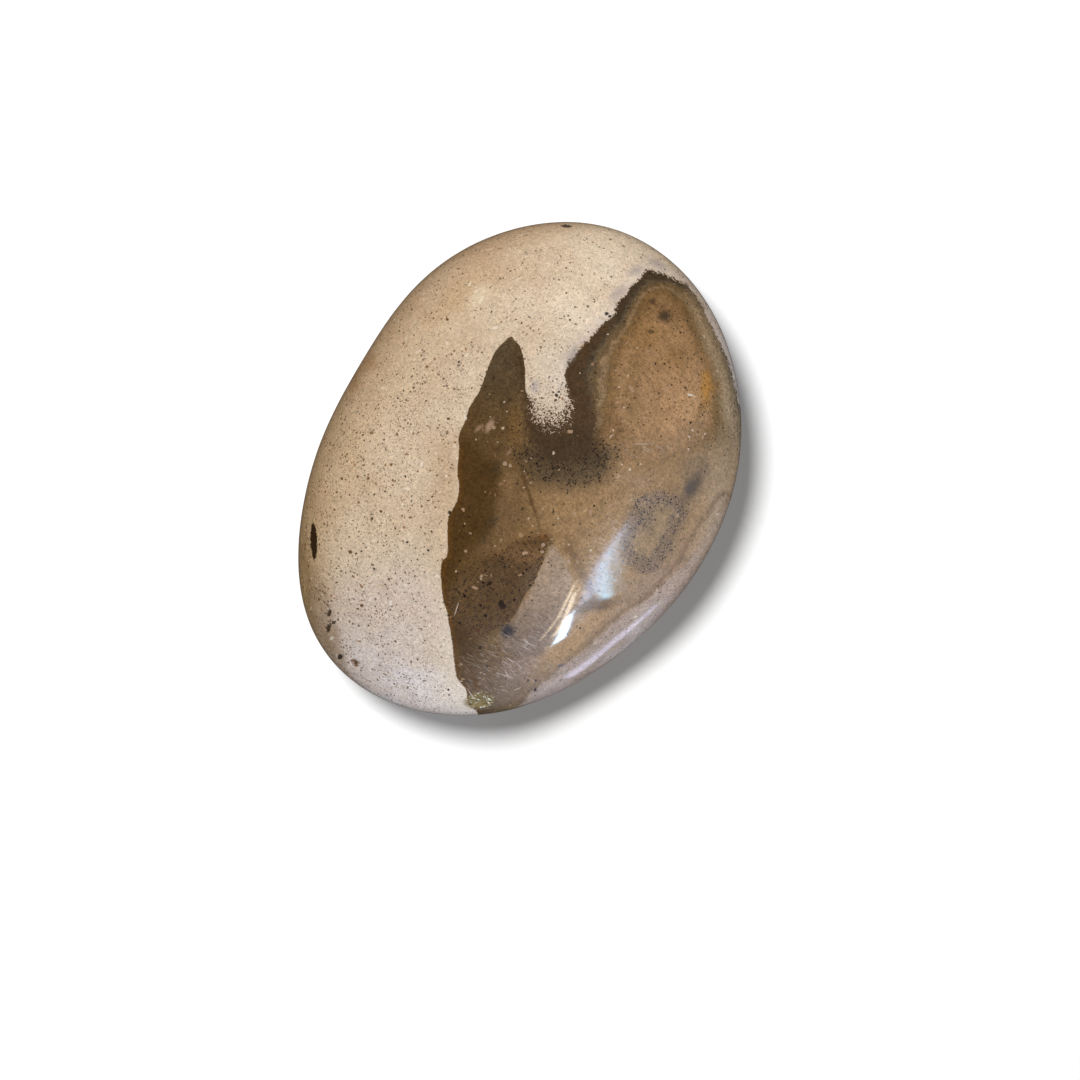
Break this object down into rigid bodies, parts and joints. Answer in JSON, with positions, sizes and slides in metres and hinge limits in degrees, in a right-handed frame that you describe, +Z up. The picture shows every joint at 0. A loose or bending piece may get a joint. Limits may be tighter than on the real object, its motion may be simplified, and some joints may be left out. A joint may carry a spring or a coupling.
{
  "type": "polished jasper palm stone",
  "caption": "Hand-polished egg-shaped palm stone of cream jasper with a brown agate-like zone, resting on a small flat spot.",
  "frame": {"origin": "on the ground, at the bottom centre of the stone's bounding box, on its flat rest spot", "axes": "+Z up out of the rest spot, +Y along the stone's long axis, and +X towards the side with the polished long slope and bevel"},
  "size_m": [0.048, 0.064, 0.026],
  "materials": {
    "stone": "glossy hand polish"
  },
  "bodies": {
    "root": {"jasper_stone": "stone"}
  },
  "joints": []
}
